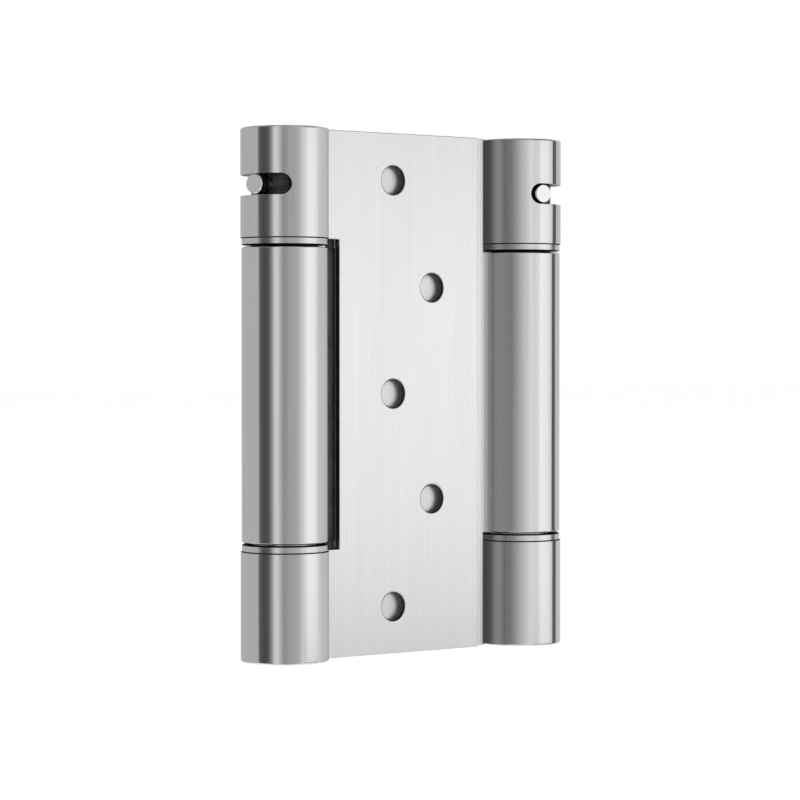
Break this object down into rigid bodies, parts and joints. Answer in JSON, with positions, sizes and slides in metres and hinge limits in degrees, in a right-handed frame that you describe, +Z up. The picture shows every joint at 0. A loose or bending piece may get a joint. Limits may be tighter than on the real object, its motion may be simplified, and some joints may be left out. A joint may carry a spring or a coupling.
{
  "type": "double action spring hinge",
  "caption": "Satin steel double action spring hinge: a web between notched, screw-drilled leaves, with a sprung barrel down each side and a stop pin in each slotted upper knuckle.",
  "frame": {"origin": "middle of the closed hinge, halfway between the two barrel axes and halfway up", "axes": "+Z up along both barrels, +X from the left barrel to the right one, -Y out of the frame leaf's outer face"},
  "size_m": [0.0926, 0.0209, 0.125],
  "materials": {
    "satin_plate": "satin stainless plate, fine vertical brushing",
    "satin_barrel": "satin stainless tube with soft streaks along its length",
    "ring_steel": "turned stainless ring",
    "turned_steel": "plain turned steel",
    "bright_pin": "bright drawn steel",
    "bearing_brass": "turned bearing brass",
    "spring_steel": "oiled spring wire"
  },
  "bodies": {
    "frame_leaf": {"frame_leaf_plate": "satin_plate", "left_upper_knuckle": "satin_barrel", "left_lower_knuckle": "satin_barrel", "left_upper_thrust_ring": "ring_steel", "left_lower_thrust_ring": "ring_steel", "left_pivot_plug": "turned_steel", "left_top_cap": "turned_steel", "left_bottom_cap": "turned_steel"},
    "web": {"web_plate": "satin_plate", "left_spring_tube": "satin_barrel", "left_upper_bush": "bearing_brass", "left_spring_anchor": "turned_steel", "left_lower_bush": "bearing_brass", "left_guide_rod": "turned_steel", "left_torsion_spring": "spring_steel", "right_spring_tube": "satin_barrel", "right_upper_bush": "bearing_brass", "right_spring_anchor": "turned_steel", "right_lower_bush": "bearing_brass", "right_guide_rod": "turned_steel", "right_torsion_spring": "spring_steel"},
    "door_leaf": {"door_leaf_plate": "satin_plate", "right_upper_knuckle": "satin_barrel", "right_lower_knuckle": "satin_barrel", "right_upper_thrust_ring": "ring_steel", "right_lower_thrust_ring": "ring_steel", "right_pivot_plug": "turned_steel", "right_top_cap": "turned_steel", "right_bottom_cap": "turned_steel"},
    "left_collar": {"left_tension_collar": "turned_steel"},
    "right_collar": {"right_tension_collar": "turned_steel"},
    "left_pin": {"left_stop_pin": "bright_pin"},
    "right_pin": {"right_stop_pin": "bright_pin"}
  },
  "joints": [
    {"name": "left_barrel_hinge", "type": "hinge", "parent": "frame_leaf", "child": "web", "pos_m": [-0.0352, 0, 0], "axis": [0, 0, 1], "range_deg": [0, 180], "stiffness_Nm_per_rad": 0.8, "deforming": ["left_torsion_spring"]},
    {"name": "right_barrel_hinge", "type": "hinge", "parent": "web", "child": "door_leaf", "pos_m": [0.0352, 0, 0], "axis": [0, 0, -1], "range_deg": [0, 180], "stiffness_Nm_per_rad": 0.8, "deforming": ["right_torsion_spring"]},
    {"name": "left_collar_turn", "type": "hinge", "parent": "frame_leaf", "child": "left_collar", "pos_m": [-0.0352, 0, 0.049], "axis": [0, 0, 1], "range_deg": [-116, 33], "stiffness_Nm_per_rad": 0.8},
    {"name": "right_collar_turn", "type": "hinge", "parent": "door_leaf", "child": "right_collar", "pos_m": [0.0352, 0, 0.049], "axis": [0, 0, 1], "range_deg": [-5, 144], "stiffness_Nm_per_rad": 0.8},
    {"name": "left_pin_slide", "type": "slide", "parent": "left_collar", "child": "left_pin", "axis": [-0.9511, -0.309, 0], "range_m": [0, 0.0043]},
    {"name": "right_pin_slide", "type": "slide", "parent": "right_collar", "child": "right_pin", "axis": [-0.0523, -0.9986, 0], "range_m": [0, 0.0056]}
  ]
}
